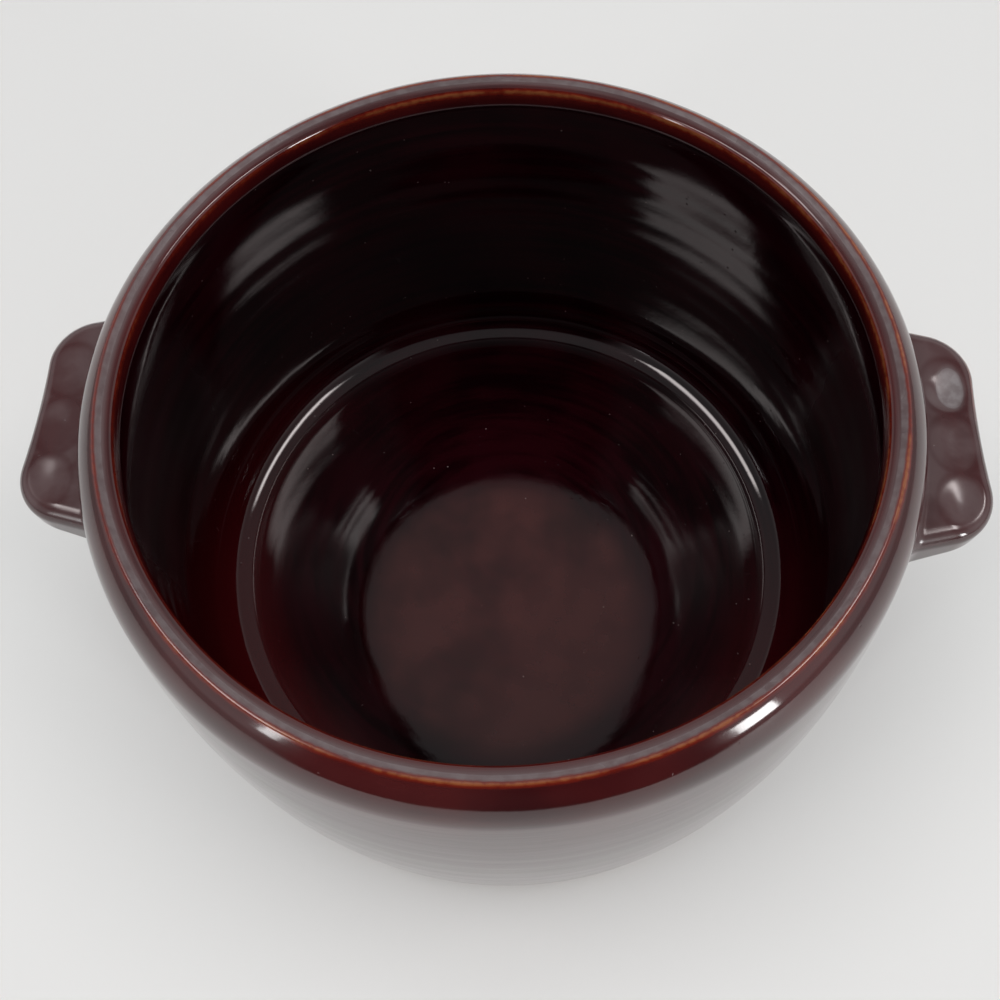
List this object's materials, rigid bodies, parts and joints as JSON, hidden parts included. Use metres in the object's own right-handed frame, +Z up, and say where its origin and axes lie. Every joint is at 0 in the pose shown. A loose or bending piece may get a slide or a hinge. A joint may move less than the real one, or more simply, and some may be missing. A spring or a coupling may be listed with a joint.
{
  "type": "stoneware bean pot",
  "caption": "Round stoneware bean pot with a barrel-shaped wall, a recessed lid seat and lug handles with finger dimples, glazed dark red-brown.",
  "frame": {"origin": "middle of the foot, on the plane that the pot stands on", "axes": "+Z up along the turning axis, +X through the middle of one lug handle"},
  "size_m": [0.2238, 0.196, 0.1183],
  "materials": {
    "stoneware": "bare fired clay, matte, fine grain",
    "glaze": "glossy dark red-brown glaze that breaks to orange-brown on edges"
  },
  "bodies": {
    "root": {"pot_body": "stoneware", "right_handle": "stoneware", "left_handle": "stoneware", "glaze_coat": "glaze"}
  },
  "joints": []
}
